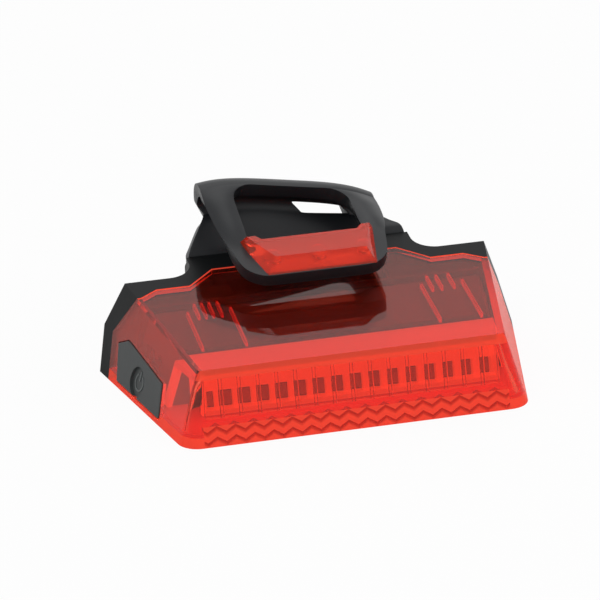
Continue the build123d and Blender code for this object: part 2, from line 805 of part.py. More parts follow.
def strap_section(x):
    """Side view of the strap at a station along X; the bend rolls, the foot and the bar stay level."""
    drop = -strap_roll * x / strap_bend_half_width
    start = lean_angle - 90
    middle = (start + 90 + arm_angle) / 2
    tip = (tip_y, tip_z)
    bar_end = along(*tip, arm_angle, ring_front_bar, 0)
    rolled = (bend_y, bend_z + drop)
    arm_end = along(*rolled, 90 + arm_angle, strap_bend_radius, 0)
    lean_top = along(*rolled, start, strap_bend_radius, 0)
    outer = []
    inner = []
    for points, sense in ((outer, 1), (inner, -1)):
        points.append(along(*tip, arm_angle, 0, sense * half_thick))
        points.append(along(*bar_end, arm_angle, 0, sense * half_thick))
        points.append(along(*arm_end, 90 + arm_angle, sense * half_thick, 0))
        points.append(along(*rolled, middle, strap_bend_radius + sense * half_thick, 0))
        points.append(along(*lean_top, start, sense * half_thick, 0))
        points.append((foot_y + sense * half_thick, foot_z))
        points.append((foot_y + sense * half_thick, clamp_low + strap_flange_foot - wall))
    with BuildSketch(Plane.YZ.offset(x)) as section:
        with BuildLine():
            Polyline(outer[0], outer[1], outer[2])
            ThreePointArc(outer[2], outer[3], outer[4])
            Polyline(outer[4], outer[5], outer[6], inner[6], inner[5], inner[4])
            ThreePointArc(inner[4], inner[3], inner[2])
            Polyline(inner[2], inner[1], inner[0], outer[0])
        make_face()
    return section.sketch


with BuildPart() as strap_blank:
    add(strap_section(-strap_span))
    add(strap_section(strap_span))
    loft(ruled=True)

# Front view of the root and plan of the windowed end, which leans to the left
lean_z = bend_z - strap_bend_radius * cos(radians(lean_angle))
ring_left = ring_rear_shift - ring_rear_half_width
ring_right = ring_rear_shift + ring_rear_half_width
with BuildPart() as root_outline:
    with BuildSketch(Plane.XZ.offset(-seam_y)):
        with BuildLine():
            Polyline(
                (-strap_flange_half_width, 0), (strap_flange_half_width, 0),
                (strap_flange_half_width, clamp_high + rubber_gap),
                (strap_root_half_width, clamp_high + rubber_gap), (strap_root_half_width, foot_z),
                (ring_rear_half_width, lean_z - strap_roll), (ring_right, bend_z - strap_roll),
                (ring_right, bend_z + overrun), (ring_left, bend_z + overrun),
                (ring_left, bend_z + strap_roll), (-ring_rear_half_width, lean_z + strap_roll),
                (-strap_root_half_width, foot_z), (-strap_root_half_width, clamp_high + rubber_gap),
                (-strap_flange_half_width, clamp_high + rubber_gap), close=True,
            )
        make_face()
    extrude(amount=-lens_depth)

with BuildPart() as ring_outline:
    with BuildSketch(Plane.XY.offset(tip_z - strap_thickness)) as ring_plan:
        with BuildLine():
            rear = bend_y + lens_depth / 2
            Polyline(
                (ring_left, rear), (ring_left, bend_y),
                (ring_front_shift - ring_front_half_width, tip_y + fit_gap * 2),
                (ring_front_shift + ring_front_half_width, tip_y + fit_gap * 2),
                (ring_right, bend_y), (ring_right, rear), close=True,
            )
        make_face()
        fillet(ring_plan.vertices().group_by(Axis.Y)[0], ring_corner)
        with BuildLine():
            low = tip_y + ring_front_bar
            high = bend_y - ring_rear_bar
            Polyline(
                (ring_left + ring_arm * 1.8, low), (ring_right - ring_arm * 1.8, low),
                (ring_right - ring_arm, high), (ring_left + ring_arm, high), close=True,
            )
        make_face(mode=Mode.SUBTRACT)
    extrude(amount=lens_depth)

# The root is the rear run below the middle of the bend, the windowed end is the rest
with BuildPart() as rear_zone:
    add(slab(-side_span, side_span, block_end, block_end + lens_depth, 0, bend_z + lens_depth))
    split(
        bisect_by=Plane(origin=(0, 0, bend_z), z_dir=(strap_roll / strap_bend_half_width, 0, 1)),
        keep=Keep.BOTTOM,
    )

# Slot in the back of the bend, on the right half
slot_middle_x = (slot_low_x + slot_high_x) / 2
slot_middle_z = (lean_z + bend_z) / 2 + half_thick / 4 - strap_roll * slot_middle_x / strap_bend_half_width
with BuildPart() as band_slot:
    with BuildSketch(Plane.XZ.offset(-bend_y)):
        with Locations((slot_middle_x, slot_middle_z)):
            SlotOverall(slot_high_x - slot_low_x, slot_height)
    extrude(amount=-lens_depth)

with BuildPart() as strap_root:
    add(strap_blank.part & root_outline.part & rear_zone.part)
    add(band_slot.part, mode=Mode.SUBTRACT)
strap_root.part.label = "strap_root"
export_step(strap_root.part, "parts/strap_root.step")

# The studs and the badge sit square on the flat front bar
bar_top = Plane(
    origin=(0, *along(tip_y, tip_z, arm_angle, 0, half_thick)), x_dir=(1, 0, 0),
    z_dir=(0, -sin(radians(arm_angle)), cos(radians(arm_angle))),
)
stud_up = badge_slope + stud_head_radius + fit_gap
stud_places = [((i - (stud_count - 1) / 2) * stud_pitch, stud_up) for i in range(stud_count)]

with BuildPart() as strap_loop:
    add((strap_blank.part & ring_outline.part) - rear_zone.part - band_slot.part)
    with BuildSketch(bar_top):
        with Locations(*stud_places):
            Circle(stud_radius + running_gap)
    extrude(amount=-strap_thickness * 1.5, mode=Mode.SUBTRACT)
strap_loop.part.label = "strap_loop"
export_step(strap_loop.part, "parts/strap_loop.step")

with BuildPart() as badge_studs:
    with BuildSketch(bar_top):
        with Locations(*stud_places):
            Circle(stud_head_radius)
    extrude(amount=stud_head_height)
    with BuildSketch(bar_top):
        with Locations(*stud_places):
            Circle(stud_radius)
    extrude(amount=-strap_thickness)
badge_studs.part.label = "badge_studs"
export_step(badge_studs.part, "parts/badge_studs.step")


def badge_level(height, half_front, half_back, front, back, ear):
    """One level of the badge: a trapezoid with two small ears at its back corners."""
    left = badge_back_shift - half_back
    right = badge_back_shift + half_back
    with BuildSketch(bar_top.offset(height)) as level:
        with BuildLine():
            Polyline(
                (-half_front, front), (half_front, front), (right, back + ear),
                (right - badge_ear_width, back + ear), (right - badge_ear_width - ear, back),
                (left + badge_ear_width + ear, back), (left + badge_ear_width, back + ear),
                (left, back + ear), close=True,
            )
        make_face()
    return level.sketch


with BuildPart() as badge_lens:
    add(badge_level(0, badge_half_front, badge_half_back, fit_gap, badge_depth, badge_ear))
    add(badge_level(badge_height, badge_half_front - wall, badge_half_back - badge_ear, badge_slope,
                    badge_depth - badge_ear, badge_ear))
    loft(ruled=True)
    with BuildSketch(bar_top):
        with Locations(*stud_places):
            Circle(stud_head_radius + running_gap * 2)
    extrude(amount=stud_head_height + running_gap * 2, mode=Mode.SUBTRACT)
badge_lens.part.label = "badge_lens"
export_step(badge_lens.part, "parts/badge_lens.step")
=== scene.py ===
import bmesh
import bpy
import math
from bpy.props import FloatProperty, FloatVectorProperty, IntProperty, PointerProperty
from bpy.types import Operator, Panel, PropertyGroup
from collections import namedtuple
from mathutils import Matrix, Vector


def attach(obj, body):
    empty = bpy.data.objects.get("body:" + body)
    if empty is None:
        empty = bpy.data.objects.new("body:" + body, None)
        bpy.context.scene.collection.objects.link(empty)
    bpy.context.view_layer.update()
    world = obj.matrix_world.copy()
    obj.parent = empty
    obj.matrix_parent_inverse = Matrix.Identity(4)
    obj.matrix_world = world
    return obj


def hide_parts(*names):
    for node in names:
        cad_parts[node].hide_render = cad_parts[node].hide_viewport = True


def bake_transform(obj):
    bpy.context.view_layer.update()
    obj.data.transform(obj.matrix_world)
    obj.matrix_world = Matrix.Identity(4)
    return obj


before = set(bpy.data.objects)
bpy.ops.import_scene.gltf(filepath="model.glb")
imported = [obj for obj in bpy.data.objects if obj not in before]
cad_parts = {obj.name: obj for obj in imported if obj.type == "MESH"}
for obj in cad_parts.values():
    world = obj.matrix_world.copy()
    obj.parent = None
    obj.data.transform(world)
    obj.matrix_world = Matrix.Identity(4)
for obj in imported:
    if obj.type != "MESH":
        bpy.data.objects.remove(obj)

bl_info = {
    "name": "Strap-on rear light",
    "version": (1, 0, 0),
    "blender": (4, 5, 0),
    "location": "View3D > Sidebar > Rear Light",
    "description": "Dresses a strap-on bicycle rear light and sets its studio",
    "category": "Object",
}

MM = 0.001

# Left side of the lens, as the CAD has it: its rear foot, and how far it moves in by depth and by height
SIDE_CORNER = Vector((-34.0, 15.0, 0.0)) * MM
SIDE_TAPER = 0.21
SIDE_LEAN = 4.6 / 14.6

# Rows across the band: distances on its front bar in millimetres, then shares of the arms that are left
BAR_ROWS = (0.0, 0.15, 0.5, 1.1, 1.9, 2.8, 3.8, 5.4)
ARM_ROWS = (0.84, 0.68, 0.54, 0.40, 0.28, 0.19, 0.11, 0.05, 0.015, 0.0)
BEND_STEPS = 22
LEAN_STEPS = 4

# Columns of the band on each arm and between the arms, and those that the slot takes
ARM_COLUMNS = 3
MIDDLE_COLUMNS = 12
SLOT_COLUMNS = range(ARM_COLUMNS + 7, ARM_COLUMNS + 12)

# How steeply the bend falls towards its ends, and how soon the arms' crown reaches its full height
ARCH_POWER = 4
CROWN_RATE = 3.0

# Steps round the power mark's ring
RING_STEPS = 28

# Angles past which an edge of the band or of the housing is rounded
BAND_CREASE = math.radians(60)
SHELL_CREASE = math.radians(35)

# Scale of the slow change of roughness, as a share of the fine grain's
SLOW_GRAIN = 0.04

# Pieces of the CAD that stay, by finish, and those whose edges are rounded
FINISHED_NODES = {
    "lens": ("lens_cover",),
    "badge": ("badge_lens",),
    "shell": ("rear_housing", "strap_clamp", "switch_plunger", "badge_studs"),
    "rubber": ("housing_gasket", "port_cover", "cover_anchor", "saddle_pad"),
    "button": ("power_button",),
    "clear": ("fluted_strip",),
    "trough": ("reflector",),
    "board": ("led_board", "main_board", "switch_board"),
    "light": ("leds",),
    "tray": ("battery_tray",),
    "steel": ("board_screws", "housing_screws", "strap_screws", "tact_switch", "usb_socket"),
    "foil": ("battery_cell",),
    "chip": ("control_chips",),
    "ceramic": ("small_parts",),
    "sleeve": ("battery_wires",),
}
SOFT_EDGED_NODES = ("rear_housing", "saddle_pad", "port_cover")


# Properties

def length_prop(name, description, value):
    """A length, given in millimetres and kept in metres."""
    return FloatProperty(name=name, description=description, default=value * MM, unit="LENGTH")


def lengths_prop(name, description, *values):
    """Some lengths, given in millimetres and kept in metres."""
    return FloatVectorProperty(
        name=name, description=description, size=len(values), default=[value * MM for value in values],
        unit="LENGTH")


def angle_prop(name, description, value):
    """An angle in radians."""
    return FloatProperty(name=name, description=description, default=value, subtype="ANGLE")


def factor_prop(name, description, value):
    """A share of a whole."""
    return FloatProperty(
        name=name, description=description, default=value, min=0.0, max=1.0, subtype="FACTOR")


def power_prop(name, description, value):
    """The power of a lamp."""
    return FloatProperty(name=name, description=description, default=value, unit="POWER")


def color_prop(name, description, *value):
    """A color as red, green and blue."""
    return FloatVectorProperty(name=name, description=description, size=3, default=value, subtype="COLOR")


class BandSettings(PropertyGroup):
    tip: lengths_prop("Tip", "Depth and height of the middle of the front tip", 6.5, 17.4217)
    foot: lengths_prop("Foot", "Depth and height where the band leaves the block", 25.4, 15.561)
    bend: lengths_prop("Bend centre", "Depth and height that the bend turns about", 26.2, 21.4)
    bend_radius: length_prop("Bend radius", "Radius of the bend at mid thickness", 3.4)
    roll: length_prop("Roll", "Rise of the bend at its left edge, and its fall at the right one", 2.4)
    arch: length_prop("Arch", "Fall of the bend's ends below its middle", 1.35)
    bar: length_prop("Front bar", "Depth of the bar that carries the badge", 7.0)
    front_half: length_prop("Front half width", "Half of the band's width at its front tip", 11.4)
    rear_half: length_prop("Bend half width", "Half of the band's width at the bend", 14.2)
    root_half: length_prop("Root half width", "Half of the band's width where it leaves the block", 18.2)
    bow: length_prop("Bow", "How far the arms bow outwards halfway along", 0.35)
    root_top: length_prop("Root top", "Height of the block's top edge behind the band", 14.6)
    shoulder: lengths_prop("Shoulder", "Heights between which the root narrows to the flange", 13.9, 13.5)
    flange_half: length_prop("Flange half width", "Half of the width of the clamped flange", 13.0)
    flange_middle: length_prop("Flange middle", "Height of a row halfway down the flange", 8.0)
    flange_low: length_prop("Flange foot", "Height of the flange's lower edge", 3.5)
    arm: length_prop("Arm width in front", "Width of each arm at the front bar", 3.0)
    arm_rear: length_prop("Arm width behind", "Width of each arm at the bend", 4.3)
    window_corner: length_prop("Window corner", "Radius of the window's rear corners", 3.2)
    thickness: length_prop("Thickness", "Thickness of the silicone", 2.2)
    corner: length_prop("Front corner", "Radius of the band's front corners", 3.6)
    front_shift: length_prop("Front shift", "Sideways shift of the front tip", -0.5)
    rear_shift: length_prop("Bend shift", "Sideways shift of the bend", -1.4)
    slot: lengths_prop("Slot", "Lowest and highest row of the slot behind the bend", 17.9, 21.4)
    edge: length_prop("Edge radius", "Rounding of the band's edges", 1.0)
    crown: length_prop("Crown", "How far the arms rise along their middle", 0.55)


class MarkSettings(PropertyGroup):
    along: length_prop("Distance along", "Distance of the mark from the lens's rear corner", 10.15)
    up: length_prop("Distance up", "Distance of the mark up the side", 3.4)
    radius: length_prop("Ring radius", "Radius of the ring at the middle of its line", 1.35)
    width: length_prop("Line width", "Width of the ring's and the stroke's line", 0.3)
    height: length_prop("Relief", "How far the mark stands off the dimple", 0.1)
    depth: length_prop("Dimple depth", "Depth of the dimple's floor below the side", 0.3)
    stroke_foot: length_prop("Stroke foot", "Distance of the stroke's foot from the ring's centre", 0.2)
    stroke_rise: length_prop("Stroke rise", "How far the stroke passes the ring", 0.3)
    gap: angle_prop("Opening", "Opening of the ring at its top", math.radians(70))


class FinishSettings(PropertyGroup):
    lens: color_prop("Lens", "Clear red plastic of the lens", 1.0, 0.13, 0.07)
    veil: color_prop("Mirror tint", "Tint of the light that the red plastic mirrors", 1.0, 0.82, 0.76)
    badge: color_prop("Badge", "Clear red plastic of the badge", 1.0, 0.06, 0.02)
    shell: color_prop("Back shell", "Black plastic of the housing", 0.006, 0.0065, 0.007)
    silicone: color_prop("Silicone", "Black silicone of the band", 0.010, 0.011, 0.013)
    button: color_prop("Button", "Grey rubber of the power button", 0.040, 0.045, 0.045)
    rubber: color_prop("Rubber", "Black rubber of the pad, gasket and flap", 0.025, 0.025, 0.026)
    trough: color_prop("Trough", "Pale plastic of the trough", 0.62, 0.61, 0.58)
    # Painted glow: emission on the trough and on its flange, standing in for lamp light that the render
    # doesn't carry through the clear lens
    trough_painted_glow: color_prop("Trough light", "Light that gathers in the trough", 0.54, 0.12, 0.05)
    flange_painted_glow: color_prop("Flange light", "Light that gathers in the trough's flange", 0.30, 0.03, 0.01)
    flange_low: length_prop("Flange height", "Height above which the trough is its flange", 8.6)
    board: color_prop("Board", "Green mask of the circuit boards", 0.02, 0.12, 0.05)
    light: color_prop("Light squares", "Unlit light squares", 0.34, 0.20, 0.12)
    tray: color_prop("Tray", "Black plastic of the battery tray", 0.030, 0.030, 0.032)
    frost: color_prop("Frost", "Frosted red plastic", 0.95, 0.08, 0.04)
    # Painted shade: the shaded faces of the prisms, laid on the frost in a zigzag
    prism_painted_shade: color_prop("Dark prisms", "Shaded faces of the prisms", 0.22, 0.010, 0.008)
    # Painted glow: emission on every frosted part of the lens, standing in for lamp light that the render
    # doesn't carry through the clear plastic
    frost_painted_glow: color_prop("Frost light", "Light that gathers in the frosted plastic", 0.16, 0.012, 0.006)
    roof_slope: factor_prop("Roof slope", "Rise of the roof by its depth", 0.1033)
    roof_inside: length_prop("Roof inside", "Height of the roof's inside at the middle", 11.15)
    rib_frost: factor_prop("Rib frost", "Frost on the ribs under the roof", 0.5)
    rib_low: length_prop("Rib foot", "Height above which a rib can lie", 8.0)
    rib_half: length_prop("Rib half width", "Half of the width that holds the ribs", 24.5)
    rib_ends: lengths_prop("Rib ends", "Depths between which the ribs lie", -4.5, 13.0)
    foot_frost: factor_prop("Foot frost", "Frost on the foot and the prisms", 0.6)
    foot_height: length_prop("Foot height", "Height of the frosted foot", 1.6)
    prism_height: length_prop("Prism height", "Height of the frosted prisms", 3.2)
    prism_top: length_prop("Zigzag height", "Height below which the zigzag shows", 8.0)
    prism_half: length_prop("Prism half width", "Half of the width that holds the prisms", 24.6)
    prism_front: length_prop("Prism depth", "Depth in front of which the prisms lie", -12.5)
    prism_pitch: length_prop("Prism pitch", "Width of one prism", 3.0)
    prism_rise: length_prop("Prism rise", "Height of one row of prisms", 1.6)
    prism_tilt: FloatProperty(name="Prism tilt", description="Height of the zigzag, in rows", default=1.1)
    prism_edge: FloatProperty(name="Prism edge", description="How fast the zigzag turns dark", default=3.0)
    brow_frost: factor_prop("Brow frost", "Frost on the strip above the columns", 0.6)
    brow_low: length_prop("Brow foot", "Height of that strip's lower edge", 10.25)
    brow_front: length_prop("Brow depth", "Depth in front of which that strip lies", -11.9)
    rim_frost: factor_prop("Rim frost", "Frost on the rim and its line on the roof", 0.9)
    rim_width: length_prop("Rim line", "Width of the line along the roof's rear edge", 0.4)
    rim_front: length_prop("Rim depth", "Depth behind which the rim lies", 12.0)
    seam_x: lengths_prop("Seam corners", "Corners of the seam across the roof", 15.4, 20.0, 25.5, 28.5)
    seam_steps: lengths_prop("Seam steps", "Steps of the seam beside its tongue and at its ends", 4.6, 2.15)
    seam_back: length_prop("Seam tongue", "Depth of the seam at its tongue", 19.6)
    rim_facing: factor_prop("Rim facing", "How squarely a face of the rim faces back", 0.75)
    roof_facing: factor_prop("Roof facing", "How squarely a face of the roof faces up", 0.9)
    side_facing: factor_prop("Side facing", "How squarely a face of a side faces sideways", 0.85)
    side_frost: FloatVectorProperty(
        name="Side haze", description="Frost on the left and the right side", size=2, default=(0.1, 0.5))
    soft_edge: length_prop("Soft edge", "Rounding of the housing's, pad's and flap's edges", 0.25)
    mark_lift: FloatProperty(
        name="Mark lift", description="Brightness of the power mark by its button's", default=2.2)


class StageSettings(PropertyGroup):
    azimuth: angle_prop("Camera azimuth", "Turn of the camera about the light", 0.2353)
    elevation: angle_prop("Camera elevation", "Angle at which the camera looks down", 0.4168)
    roll: angle_prop("Camera roll", "Turn of the camera about its own axis", -0.0262)
    distance: length_prop("Camera distance", "Distance from the camera to its target", 600.0)
    target: lengths_prop("Camera target", "Place that the camera looks at", 0.0, 2.0, 8.0)
    focal: FloatProperty(name="Focal length", description="Focal length in pixels", default=3772.0)
    centre: FloatVectorProperty(
        name="Optical centre", description="Place of the camera's axis in the frame, in pixels", size=2,
        default=(331.45, 339.68))
    frame_side: IntProperty(
        name="Frame side", description="Side of the square frame", default=600, subtype="PIXEL")
    sensor: FloatProperty(
        name="Sensor", description="Width of the camera's sensor", default=36.0, subtype="DISTANCE_CAMERA")
    world: FloatProperty(name="World light", description="Strength of the even light", default=0.55)
    floor_size: length_prop("Floor", "Distance from the floor's middle to its sides", 1500.0)
    floor_drop: length_prop("Floor drop", "How far the floor lies below the light's foot", 0.02)
    floor_lift: factor_prop("Floor lift", "How far the floor turns white where it is seen", 0.93)
    key: power_prop("Key lamp", "Power of the lamp at the front left", 1.3)
    fill: power_prop("Fill lamp", "Power of the lamp at the front right", 0.8)
    top: power_prop("Top lamp", "Power of the lamp above and behind", 1.1)


# Shader maths

class Tree:
    """Adds nodes to the node tree of a material or a world."""

    def __init__(self, owner):
        owner.use_nodes = True
        self.nodes = owner.node_tree.nodes
        self.links = owner.node_tree.links

    def feed(self, slot, value):
        """Links an output to an input, or writes a plain value there."""
        if isinstance(value, Socket):
            self.links.new(value.output, slot)
        else:
            slot.default_value = value

    def node(self, kind, settings=None, sockets=None, output=0):
        """One node: first its settings, then its inputs' values or links. Gives one of its outputs."""
        node = self.nodes.new(kind)
        for name, value in (settings or {}).items():
            if name == "stops":
                for stop, color in zip(node.color_ramp.elements, value):
                    stop.color = (*color, 1.0)
            else:
                setattr(node, name, value)
        for key, value in (sockets or {}).items():
            self.feed(node.inputs[key], value)
        return Socket(self, node.outputs[output])

    def place(self):
        """Places on the piece in its own axes."""
        return self.node("ShaderNodeTexCoord", output="Object")

    def parts(self, vector):
        """The three parts of a vector."""
        first = self.node("ShaderNodeSeparateXYZ", sockets={"Vector": vector})
        return [Socket(self, output) for output in first.output.node.outputs]

    def ramp(self, share, start, end):
        """A color that runs from one to another by a share."""
        return self.node("ShaderNodeValToRGB", {"stops": (start, end)}, {"Fac": share}, output="Color")

    def mix_into_surface(self, share, other):
        """Mixes another surface into the material's own by a share."""
        own = Socket(self, self.nodes["Principled BSDF"].outputs["BSDF"])
        mixed = self.node("ShaderNodeMixShader", sockets={"Fac": share, 1: own, 2: other})
        self.feed(self.nodes["Material Output"].inputs["Surface"], mixed)


class Socket:
    """An output socket with operators that add maths nodes. A comparison gives 1 or 0."""

    def __init__(self, tree, output):
        self.tree = tree
        self.output = output

    def maths(self, operation, *values):
        return self.tree.node("ShaderNodeMath", {"operation": operation}, dict(enumerate(values)))

    def __add__(self, other):
        return self.maths("ADD", self, other)

    def __radd__(self, other):
        return self.maths("ADD", other, self)

    def __sub__(self, other):
        return self.maths("SUBTRACT", self, other)

    def __rsub__(self, other):
        return self.maths("SUBTRACT", other, self)

    def __mul__(self, other):
        return self.maths("MULTIPLY", self, other)

    def __rmul__(self, other):
        return self.maths("MULTIPLY", other, self)

    def __gt__(self, other):
        return self.maths("GREATER_THAN", self, other)

    def __lt__(self, other):
        return self.maths("LESS_THAN", self, other)

    def __or__(self, other):
        """The greater of two shares."""
        return self.maths("MAXIMUM", self, other)

    def __abs__(self):
        return self.maths("ABSOLUTE", self)

    def fraction(self):
        return self.maths("FRACT", self)

    def clipped(self):
        """The value kept between 0 and 1."""
        return self.maths("MAXIMUM", self.maths("MINIMUM", self, 1.0), 0.0)


def add_grain(tree, scale, strength, distance, rough):
    """Fine grain as a bump, and a slow change of roughness where there is any."""
    sockets = tree.nodes["Principled BSDF"].inputs
    place = tree.place()

    def noise(size, detail):
        return tree.node("ShaderNodeTexNoise", sockets={"Vector": place, "Scale": size, "Detail": detail})

    fine = noise(scale, 3.0)
    bump = tree.node("ShaderNodeBump", sockets={"Strength": strength, "Distance": distance, "Height": fine})
    tree.feed(sockets["Normal"], bump)
    if rough:
        slow = noise(scale * SLOW_GRAIN, 2.0)
        tree.feed(sockets["Roughness"], (slow - 0.5) * rough + sockets["Roughness"].default_value)


def new_material(name, color, roughness, grain=None, rough=0.0, **values):
    """A material of one surface shader, with its even values on the shader's own sockets.

    Grain is the scale, strength and depth of its bump, and rough how much its roughness changes.
    """
    material = bpy.data.materials.new(name)
    tree = Tree(material)
    sockets = tree.nodes["Principled BSDF"].inputs
    tree.feed(sockets["Base Color"], (*color, 1.0))
    tree.feed(sockets["Roughness"], roughness)
    for key, value in values.items():
        tree.feed(sockets[key.replace("_", " ")], value)
    material.diffuse_color = (*color, 1.0)
    if grain:
        add_grain(tree, *grain, rough)
    return material


def mesh_object(name, bm, smooth=True):
    """Turns a bmesh into a linked object with outward normals."""
    bmesh.ops.recalc_face_normals(bm, faces=bm.faces)
    mesh = bpy.data.meshes.new(name)
    bm.to_mesh(mesh)
    bm.free()
    for polygon in mesh.polygons:
        polygon.use_smooth = smooth
    obj = bpy.data.objects.new(name, mesh)
    bpy.context.scene.collection.objects.link(obj)
    return obj


# Band

Row = namedtuple("Row", ("depth", "height", "rolled", "half", "shift", "zone"))


def band_rows(s):
    """Rows along the band from its front tip over the bend to the flange in the clamp."""
    tip = Vector(s.tip)
    bend = Vector(s.bend)
    foot = Vector(s.foot)
    reach = bend - tip
    rise = foot - bend
    arm_angle = math.atan2(reach.y, reach.x) + math.asin(s.bend_radius / reach.length)
    lean = math.atan2(-rise.y, -rise.x) - math.asin(s.bend_radius / rise.length)
    forward = Vector((math.cos(arm_angle), math.sin(arm_angle)))
    arm_end = bend + s.bend_radius * Vector((-math.sin(arm_angle), math.cos(arm_angle)))
    length = (arm_end - tip).length

    def row_at(distance, rolled, zone):
        """A row on the bar or the arms, which bow a little and have round corners at the tip."""
        share = min(distance / length, 1.0)
        half = s.front_half + (s.rear_half - s.front_half) * share + s.bow * math.sin(math.pi * share)
        if distance < s.corner:
            half -= s.corner - math.sqrt(max(s.corner ** 2 - (s.corner - distance) ** 2, 0.0))
        shift = s.front_shift + (s.rear_shift - s.front_shift) * share
        place = tip + forward * distance
        return Row(place.x, place.y, rolled, half, shift, zone)

    rows = [row_at(distance * MM, 0.0, "bar") for distance in BAR_ROWS]
    rows.append(row_at(s.bar, 0.0, "bar"))
    for left in ARM_ROWS:
        rows.append(row_at(length - (length - s.bar) * left, 1.0 - left, "arm"))
    start = arm_angle + math.pi / 2
    stop = lean - math.pi / 2
    for i in range(1, BEND_STEPS + 1):
        angle = start + (stop - start) * i / BEND_STEPS
        place = bend + s.bend_radius * Vector((math.cos(angle), math.sin(angle)))
        settled = min(max((bend.y - place.y) / (s.bend_radius * math.cos(lean)), 0.0), 1.0)
        rows.append(Row(place.x, place.y, 1.0, s.rear_half, s.rear_shift * (1.0 - settled), "bend"))
    last = Vector((rows[-1].depth, rows[-1].height))
    for i in range(1, LEAN_STEPS + 1):
        share = i / LEAN_STEPS
        place = last.lerp(foot, share)
        half = s.rear_half + (s.root_half - s.rear_half) * share
        rows.append(Row(place.x, place.y, 1.0 - share, half, 0.0, "lean"))
    for height, half in ((s.root_top, s.root_half), (s.shoulder[0], s.root_half),
                         (s.shoulder[1], s.flange_half), (s.flange_middle, s.flange_half),
                         (s.flange_low, s.flange_half)):
        rows.append(Row(foot.x, height, 0.0, half, 0.0, "flange"))
    return rows


def row_places(s, row, run, to_rear):
    """Places across one row, given the band's run there and the distance to the window's rear edge."""
    arm = s.arm_rear
    crown = Vector((0.0, 0.0))
    if row.zone in ("bar", "arm"):
        arm = s.arm + (s.arm_rear - s.arm) * row.rolled
    if row.zone == "arm":
        near = max(s.window_corner - to_rear, 0.0)
        arm += s.window_corner - math.sqrt(s.window_corner ** 2 - near ** 2)
        raised = min(row.rolled * CROWN_RATE, 1.0) * min(to_rear / s.window_corner, 1.0)
        crown = Vector((-run.y, run.x)).normalized() * s.crown * raised
    inner = row.half - arm
    xs = [-row.half + arm * i / ARM_COLUMNS for i in range(ARM_COLUMNS)]
    xs += [-inner + 2 * inner * i / MIDDLE_COLUMNS for i in range(MIDDLE_COLUMNS + 1)]
    xs += [inner + arm * i / ARM_COLUMNS for i in range(1, ARM_COLUMNS + 1)]
    ridges = (1, 2, len(xs) - 3, len(xs) - 2)
    places = []
    for i, x in enumerate(xs):
        raised = crown if i in ridges else Vector((0.0, 0.0))
        fall = s.arch * (x / s.rear_half) ** ARCH_POWER if row.zone in ("arm", "bend") else 0.0
        sink = (s.roll * (x + row.shift) / s.rear_half + fall) * row.rolled
        places.append((x + row.shift, row.depth + raised.x, row.height + raised.y - sink))
    return places


def is_open(s, row, ahead, column):
    """Whether the face between two rows lies in the window or in the slot behind the bend."""
    if ahead.zone == "arm":
        return ARM_COLUMNS <= column < ARM_COLUMNS + MIDDLE_COLUMNS
    behind = row.zone == ahead.zone == "bend" and row.depth > s.bend[0]
    return behind and s.slot[0] < ahead.height < s.slot[1] and column in SLOT_COLUMNS


def build_band(s):
    """The band as one sheet with its openings cut, which modifiers round and give its thickness."""
    rows = band_rows(s)
    middles = [Vector((row.depth, row.height)) for row in rows]
    rear = [middle for row, middle in zip(rows, middles) if row.zone == "arm"][-1]
    columns = 2 * ARM_COLUMNS + MIDDLE_COLUMNS
    bm = bmesh.new()
    bmesh.ops.create_grid(bm, x_segments=columns, y_segments=len(rows) - 1, size=1.0)
    bm.verts.ensure_lookup_table()
    for k, row in enumerate(rows):
        run = middles[min(k + 1, len(rows) - 1)] - middles[max(k - 1, 0)]
        for i, place in enumerate(row_places(s, row, run, (rear - middles[k]).length)):
            bm.verts[k * (columns + 1) + i].co = place
    bm.verts.index_update()
    opened = []
    for face in bm.faces:
        k, column = divmod(min(vert.index for vert in face.verts), columns + 1)
        if is_open(s, rows[k], rows[k + 1], column):
            opened.append(face)
    bmesh.ops.delete(bm, geom=opened, context="FACES")
    obj = mesh_object("silicone_band", bm)
    rounding = obj.modifiers.new("rounding", "SUBSURF")
    rounding.levels = 2
    rounding.render_levels = 2
    solid = obj.modifiers.new("thickness", "SOLIDIFY")
    solid.thickness = s.thickness
    solid.offset = 0.0
    soften(obj, "edges", s.edge, 4, BAND_CREASE)
    return obj


def soften(obj, name, width, segments, crease):
    """Rounds the edges of a piece that are sharper than a crease."""
    bevel = obj.modifiers.new(name, "BEVEL")
    bevel.width = width
    bevel.segments = segments
    bevel.limit_method = "ANGLE"
    bevel.angle_limit = crease


class REARLIGHT_OT_band(Operator):
    """Lays the silicone band over the light"""
    bl_idname = "rearlight.band"
    bl_label = "Silicone band"

    def execute(self, context):
        band = build_band(context.scene.rearlight_band)
        silicone = new_material("band silicone", context.scene.rearlight_finish.silicone, 0.38,
                                (2500.0, 0.12, 0.00005), 0.12, Specular_IOR_Level=0.28)
        band.data.materials.append(silicone)
        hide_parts("strap_root", "strap_loop")
        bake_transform(band)
        return {"FINISHED"}


# Power mark in the button's dimple

def add_ring(bm, s, centre, up, forward, outward):
    """An open ring: the section of its line, spun about the dimple's middle."""
    half = s.width / 2
    angle = math.pi / 2 + s.gap / 2
    ahead = forward * math.cos(angle) + up * math.sin(angle)
    verts = []
    for radius, depth in ((s.radius - half, s.depth), (s.radius + half, s.depth),
                          (s.radius + half, s.depth - s.height), (s.radius - half, s.depth - s.height)):
        verts.append(bm.verts.new(centre + ahead * radius - outward * depth))
    section = bm.faces.new(verts)
    bmesh.ops.spin(bm, geom=[section, *section.edges, *verts], cent=centre, axis=outward,
                   angle=2 * math.pi - s.gap, steps=RING_STEPS, use_merge=False)


